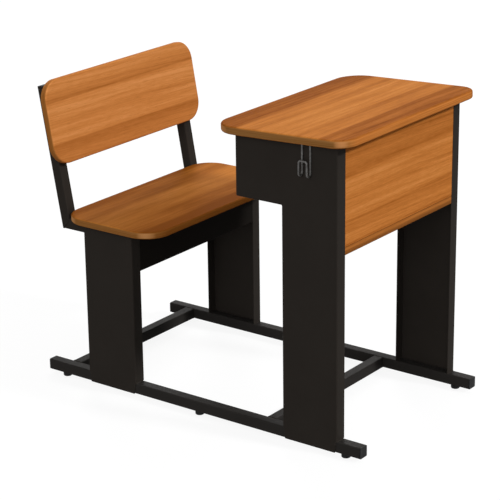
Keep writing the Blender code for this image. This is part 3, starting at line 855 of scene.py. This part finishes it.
def hook_line():
    """Middle line of the bag hook: a stem, a turn outwards, the arch, and the same again in reverse."""
    low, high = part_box("bag_hook")
    wire = HOOK_WIRE / 2
    stem_x = high.x - wire
    outer_x = low.x + wire
    front_y = low.y + wire
    rear_y = high.y - wire
    turn_radius = (stem_x - outer_x) / 2
    turn_z = low.z + wire + turn_radius
    arch_z = low.z + HOOK_UPTURN - wire - HOOK_CORNER
    out = Vector((turn_radius, 0, 0))
    down = Vector((0, 0, turn_radius))
    along = Vector((0, HOOK_CORNER, 0))
    rise = Vector((0, 0, HOOK_CORNER))
    front_turn = Vector(((stem_x + outer_x) / 2, front_y, turn_z))
    rear_turn = Vector(((stem_x + outer_x) / 2, rear_y, turn_z))
    front_bend = Vector((outer_x, front_y + HOOK_CORNER, arch_z))
    rear_bend = Vector((outer_x, rear_y - HOOK_CORNER, arch_z))
    line = [Vector((stem_x, front_y, high.z))]
    line += arc(front_turn, out, down, 0, -1, HOOK_TURN_STEPS)
    line += arc(front_bend, along, rise, 1, 0.5, HOOK_CORNER_STEPS)
    line += arc(rear_bend, along, rise, 0.5, 0, HOOK_CORNER_STEPS)
    line += arc(rear_turn, out, down, -1, 0, HOOK_TURN_STEPS)
    line.append(Vector((stem_x, rear_y, high.z)))
    return line


def build_hook():
    line = hook_line()
    shape = bmesh.new()
    sweep(shape, line, [HOOK_WIRE / 2] * len(line), HOOK_SIDES)
    mesh = mesh_from(shape, "bag_hook_rod")
    weigh_normals(place_piece("bag_hook_rod", mesh, dark_steel("hook_rod_steel"), "bag_hook"))


def cross_outline(reach, half_width):
    """Outline of a cross about the origin."""
    outline = []
    for quarter in range(4):
        turn = Matrix.Rotation(0.5 * math.pi * quarter, 2)
        corners = ((half_width, -half_width), (reach, -half_width), (reach, half_width))
        outline += [turn @ Vector(corner) for corner in corners]
    return outline


def screw_mesh(name, length):
    """Screw along +Z with its pan head below zero; a cross recess is cut into the end of the head."""
    shape = bmesh.new()
    top = -SCREW_HEAD_HEIGHT
    flat = SCREW_HEAD_RADIUS * HEAD_FLAT_SHARE
    dome = SCREW_HEAD_HEIGHT * HEAD_DOME_SHARE
    profile = []
    for angle in quarter_turn(SCREW_DOME_STEPS):
        radius = flat + (SCREW_HEAD_RADIUS - flat) * math.sin(angle)
        profile.append((radius, top + dome * (1 - math.cos(angle))))
    profile.append((SCREW_HEAD_RADIUS, 0))
    profile += [(SCREW_SHANK_RADIUS, height) for height in (0, length - SCREW_TIP)]
    rings = turned_rings(shape, profile, SCREW_STEPS)
    tip = shape.verts.new((0, 0, length))
    for index in range(SCREW_STEPS):
        shape.faces.new((rings[-1][index], tip, rings[-1][(index + 1) % SCREW_STEPS]))
    outline = cross_outline(
        SCREW_HEAD_RADIUS * RECESS_REACH_SHARE, SCREW_HEAD_RADIUS * RECESS_HALF_WIDTH_SHARE
    )
    depth = SCREW_HEAD_HEIGHT * RECESS_DEPTH_SHARE
    mouth = [shape.verts.new((*spot, top)) for spot in outline]
    floor = [shape.verts.new((*(spot * RECESS_TAPER), top + depth)) for spot in outline]
    bridge(shape, mouth, floor)
    shape.faces.new(floor)
    rims = []
    for ring in (rings[0], mouth):
        rims += [shape.edges.get((ring[index - 1], ring[index])) for index in range(len(ring))]
    bmesh.ops.triangle_fill(shape, use_beauty=True, edges=rims)
    return mesh_from(shape, name)


SCREW_WAYS = {
    "seat": Vector((0, 0, 1)),
    "panel": Vector((0, -1, 0)),
    "desktop": turn_x(-DESKTOP_TILT).to_3x3() @ Vector((0, 0, 1)),
    "back": turn_x(-BACK_TILT).to_3x3() @ Vector((0, -1, 0)),
}


def screw_seat(node, way):
    """Middle of the face under a CAD screw's head, and the length of its shank."""
    spots = [vertex.co for vertex in nodes[node].data.vertices]
    depths = [spot.dot(way) for spot in spots]
    start, end = min(depths), max(depths)
    face = [spot for spot, depth in zip(spots, depths) if depth < start + WELD_DISTANCE]
    low = Vector([min(spot[axis] for spot in face) for axis in range(3)])
    high = Vector([max(spot[axis] for spot in face) for axis in range(3)])
    return (low + high) / 2 + way * SCREW_HEAD_HEIGHT, end - start - SCREW_HEAD_HEIGHT


def build_screws(chance):
    """Pan-head screws, each turned by chance about its own axis."""
    plated = zinc("screw_zinc")
    for node in sorted(name for name in nodes if "_screw_" in name):
        way = SCREW_WAYS[node.split("_")[0]]
        seat, length = screw_seat(node, way)
        name = node + "_cross"
        mesh = screw_mesh(name, length)
        spin = Matrix.Rotation(chance.uniform(0, math.pi), 4, "Z")
        aim = way.to_track_quat("Z", "Y").to_matrix().to_4x4()
        mesh.transform(Matrix.Translation(seat) @ aim @ spin)
        weigh_normals(place_piece(name, mesh, plated, node))


def resample(points, step, closed):
    """Points about one step apart along a line, with its corners eased."""
    line = list(points) + ([points[0]] if closed else [])
    spots = []
    for first, second in zip(line, line[1:]):
        pieces = max(1, round((second - first).length / step))
        spots += [first.lerp(second, index / pieces) for index in range(pieces)]
    if not closed:
        spots.append(line[-1])
    kept_ends = 0 if closed else 1
    for _ in range(EASING_ROUNDS):
        eased = list(spots)
        for index in range(kept_ends, len(spots) - kept_ends):
            eased[index] = (spots[index - 1] + spots[index] * 2 + spots[(index + 1) % len(spots)]) / 4
        spots = eased
    return spots


class Welder:
    """Lays uneven weld beads; the order of the calls is that of the chance draws."""

    def __init__(self, chance):
        self.chance = chance
        self.shapes = {name: bmesh.new() for name in ("base_welds", "seat_welds", "desk_welds")}

    def lay_bead(self, name, corners, radius=BEAD_RADIUS, closed=False):
        """Bead of overlapping scales along a joint, with rounded ends unless it is closed."""
        spots = resample([Vector(corner) for corner in corners], BEAD_STEP, closed)
        end_reach = radius * BEAD_END_REACH
        length = BEAD_STEP * (len(spots) - 1)
        radii = []
        travelled = 0.0
        for index in range(len(spots)):
            if index % BEAD_WOBBLE_STEPS == 0:
                wobble = self.chance.uniform(1 - BEAD_WOBBLE, 1 + BEAD_WOBBLE)
            ripple = 1 - BEAD_RIPPLE + BEAD_RIPPLE * abs(math.sin(math.pi * travelled / BEAD_PITCH))
            end = 1.0
            if not closed:
                near = min(travelled, length - travelled, end_reach) / end_reach
                end = math.sqrt(max(BEAD_END_BLUNTNESS, 1 - (1 - near) ** 2))
            radii.append(radius * ripple * wobble * end)
            travelled += BEAD_STEP
        sweep(self.shapes[name], spots, radii, BEAD_SIDES, closed)

    def place(self, paint):
        for name, shape in self.shapes.items():
            place_piece(name, mesh_from(shape, name), paint)


def tab_line(side, flange_y, inward, tab_end, base):
    """Round one corner of a leg that laps a tube: along its tab, past the bend and along the flange."""
    up = 1 if base > tab_end else -1
    tab_y = flange_y + inward * TAB_INSET - inward * BEAD_SINK
    lap_x = TUBE_OUT + BEAD_SINK
    spots = [
        (lap_x, tab_y, tab_end + up * 2 * TUBE_CORNER),
        (lap_x, tab_y, base - up * 2 * TUBE_CORNER),
        (lap_x, tab_y, base - up * BEAD_SINK),
        (lap_x - BEAD_SINK, flange_y + inward * BEAD_RADIUS, base - up * BEAD_SINK),
        (lap_x - TUBE_CORNER, flange_y + inward * BEAD_SINK, base),
        (TUBE_IN + TUBE_CORNER, flange_y + inward * BEAD_SINK, base),
    ]
    return [(side * x, y, z) for x, y, z in spots]


def weld_legs(welder, side):
    """Feet of both legs on the runner, then the seat leg's upper end on the seat bar."""
    for leg in ("desk_leg_left", "seat_leg_left"):
        front_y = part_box(leg)[0].y
        for flange_y, inward in ((front_y, 1), (front_y + LEG_WIDTH, -1)):
            line = tab_line(side, flange_y, inward, runner_low.z, runner_high.z)
            welder.lay_bead("base_welds", line, SEAM_RADIUS)
    rear_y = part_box("seat_leg_left")[1].y
    welder.lay_bead("seat_welds", tab_line(side, rear_y, -1, bar_high.z, bar_low.z))


def weld_rails(welder, side):
    """Round the ends of both cross rails, on the runner."""
    half = (runner_high.z - runner_low.z) / 2 - BEAD_SINK
    outline = rounded_rectangle(half, half, (TUBE_CORNER, TUBE_CORNER), TUBE_CORNER_STEPS)
    for rail in ("cross_rail_front", "cross_rail_rear"):
        centre = middle(rail)
        line = [(side * TUBE_IN, centre.y + y, centre.z + z) for y, z in outline]
        welder.lay_bead("base_welds", line, closed=True)


def weld_post(welder, side):
    """Post foot: down the inside of the mitre, across underneath and up the outside."""
    mitre = (math.pi / 2 + BACK_TILT) / 2
    slope = Vector((0, math.cos(mitre) / math.sin(mitre), -1))
    bar_z = (bar_low.z + bar_high.z) / 2
    centre = Vector((side * (TUBE_IN + TUBE_OUT) / 2, bar_high.y - BAR_HALF, bar_z))
    half_line = ((-1, -BEAD_SIDE_SHARE), (-1, BEAD_TURN_SHARE), (-BEAD_TURN_SHARE, 1))
    other_half = [(-x, drop) for x, drop in reversed(half_line)]
    line = []
    for x, drop in (*half_line, *other_half):
        line.append(centre + Vector((x * BAR_HALF, 0, 0)) + slope * (drop * BAR_HALF))
    welder.lay_bead("seat_welds", line)


def weld_seat_tube(welder, side):
    """Sides and underneath of the rear cross tube, on the seat bar."""
    centre = middle("seat_cross_tube")
    half_line = ((1, BEAD_SIDE_SHARE), (1, -BEAD_TURN_SHARE), (BEAD_TURN_SHARE, -1))
    other_half = [(-y, z) for y, z in reversed(half_line)]
    line = []
    for y, z in (*half_line, *other_half):
        line.append((side * TUBE_IN, centre.y + y * BAR_HALF, centre.z + z * BAR_HALF))
    welder.lay_bead("seat_welds", line)


def weld_apron(welder, side):
    """Two stitches between the apron and the front flange of the seat leg."""
    low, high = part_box("seat_apron")
    for start_z in (low.z + STITCH_LENGTH, high.z - 2 * STITCH_LENGTH):
        line = [(side * high.x, low.y + LEG_SHEET, start_z + z) for z in (0.0, STITCH_LENGTH)]
        welder.lay_bead("seat_welds", line)


def weld_desk_tube(welder, side):
    """Round the end of the tube between the side plates, which leans with the desktop."""
    plate_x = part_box("desk_leg_left")[1].x - LEG_SHEET
    centre = middle("desk_cross_tube")
    lean = turn_x(-DESKTOP_TILT).to_3x3()
    outline = rounded_rectangle(BAR_HALF, BAR_HALF, (TUBE_CORNER, TUBE_CORNER), TUBE_CORNER_STEPS)
    spots = [centre + lean @ Vector((0, y, z)) for y, z in outline]
    welder.lay_bead("desk_welds", [(side * plate_x, spot.y, spot.z) for spot in spots], closed=True)


def weld_hook(welder):
    """Both sides of each hook stem, on the right side plate."""
    plate_x = -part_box("desk_leg_left")[1].x
    low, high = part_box("bag_hook")
    wire = HOOK_WIRE / 2
    for stem_y in (low.y + wire, high.y - wire):
        for way in (-1, 1):
            bead_y = stem_y + way * wire * HOOK_BEAD_INSET_SHARE
            line = [(plate_x, bead_y, high.z - drop) for drop in (HOOK_BEAD_START, STITCH_LENGTH)]
            welder.lay_bead("desk_welds", line, HOOK_BEAD_RADIUS)


def build_welds(paint, chance):
    welder = Welder(chance)
    for side in (-1, 1):
        weld_legs(welder, side)
        weld_rails(welder, side)
        weld_post(welder, side)
        weld_seat_tube(welder, side)
        weld_apron(welder, side)
        weld_desk_tube(welder, side)
    weld_hook(welder)
    welder.place(paint)


def floor_material():
    """Grey matt floor for the light, which looks white where it is seen directly."""
    material, graph = start_material("studio_floor")
    matt = graph.add("ShaderNodeBsdfDiffuse")
    matt.inputs["Color"].default_value = (FLOOR_SHARE, FLOOR_SHARE, FLOOR_SHARE, 1)
    lift = graph.add("ShaderNodeEmission")
    graph.join(graph.times(graph.seen_directly(), FLOOR_LIFT), lift.inputs["Strength"])
    total = graph.add("ShaderNodeAddShader")
    graph.feed(total, {0: matt.outputs[0], 1: lift.outputs[0]})
    graph.surface(total)
    return material


def lay_floor():
    corners = [(FLOOR_REACH * x, FLOOR_REACH * y, 0) for x, y in ((-1, -1), (1, -1), (1, 1), (-1, 1))]
    mesh = bpy.data.meshes.new("studio_floor")
    mesh.from_pydata(corners, [], [(0, 1, 2, 3)])
    mesh.materials.append(floor_material())
    floor = bpy.data.objects.new("studio_floor", mesh)
    bpy.context.scene.collection.objects.link(floor)


def light_sky():
    """Weak even light from all sides, which looks white where it is seen directly."""
    world = bpy.data.worlds.new("studio")
    bpy.context.scene.world = world
    graph = Graph(world, "ShaderNodeOutputWorld")
    sky = graph.add("ShaderNodeBackground")
    strength = graph.remap(graph.seen_directly(), (0.0, 1.0), (SKY_LEVEL, WHITE_LEVEL))
    graph.feed(sky, {"Color": (1, 1, 1, 1), "Strength": strength})
    graph.surface(sky)


def hang_lamps():
    """Soft distant lamps; at level 1 a face turned to the lamp shows its colour as written."""
    for name, direction, level, spread in LAMPS:
        lamp = bpy.data.lights.new(name, "SUN")
        lamp.angle = math.radians(spread)
        lamp.energy = level * math.pi
        lamp_object = bpy.data.objects.new(name, lamp)
        bpy.context.scene.collection.objects.link(lamp_object)
        lamp_object.rotation_mode = "QUATERNION"
        lamp_object.rotation_quaternion = Vector(direction).to_track_quat("Z", "Y")


def set_camera():
    """The photograph's camera: level axes first, then the roll about the line of sight."""
    data = bpy.data.cameras.new("photo_camera")
    data.sensor_width = SENSOR_WIDTH
    data.lens = CAMERA_FOCAL * SENSOR_WIDTH / IMAGE_SIDE
    data.clip_start = CAMERA_NEAR
    data.clip_end = CAMERA_FAR
    camera = bpy.data.objects.new("photo_camera", data)
    bpy.context.scene.collection.objects.link(camera)
    back = Vector((
        math.sin(CAMERA_AZIMUTH) * math.cos(CAMERA_ELEVATION),
        -math.cos(CAMERA_AZIMUTH) * math.cos(CAMERA_ELEVATION),
        math.sin(CAMERA_ELEVATION),
    ))
    level_right = Vector((math.cos(CAMERA_AZIMUTH), math.sin(CAMERA_AZIMUTH), 0))
    level_up = back.cross(level_right)
    right = level_right * math.cos(CAMERA_ROLL) + level_up * math.sin(CAMERA_ROLL)
    up = -level_right * math.sin(CAMERA_ROLL) + level_up * math.cos(CAMERA_ROLL)
    turn = Matrix((right, up, back)).transposed().to_4x4()
    camera.matrix_world = Matrix.Translation(CAMERA_PLACE) @ turn
    bpy.context.scene.camera = camera


chance = random.Random(11)
paint = powder_coat("frame_powder_coat", COAT_COLOUR, COAT_SPECULAR)
plastic = moulded_plastic("black_plastic_moulding")
build_boards()
build_frame(paint, plastic)
build_glides(plastic)
build_hook()
build_screws(chance)
build_welds(paint, chance)
lay_floor()
light_sky()
hang_lamps()
set_camera()
bpy.context.scene.view_settings.view_transform = "Standard"
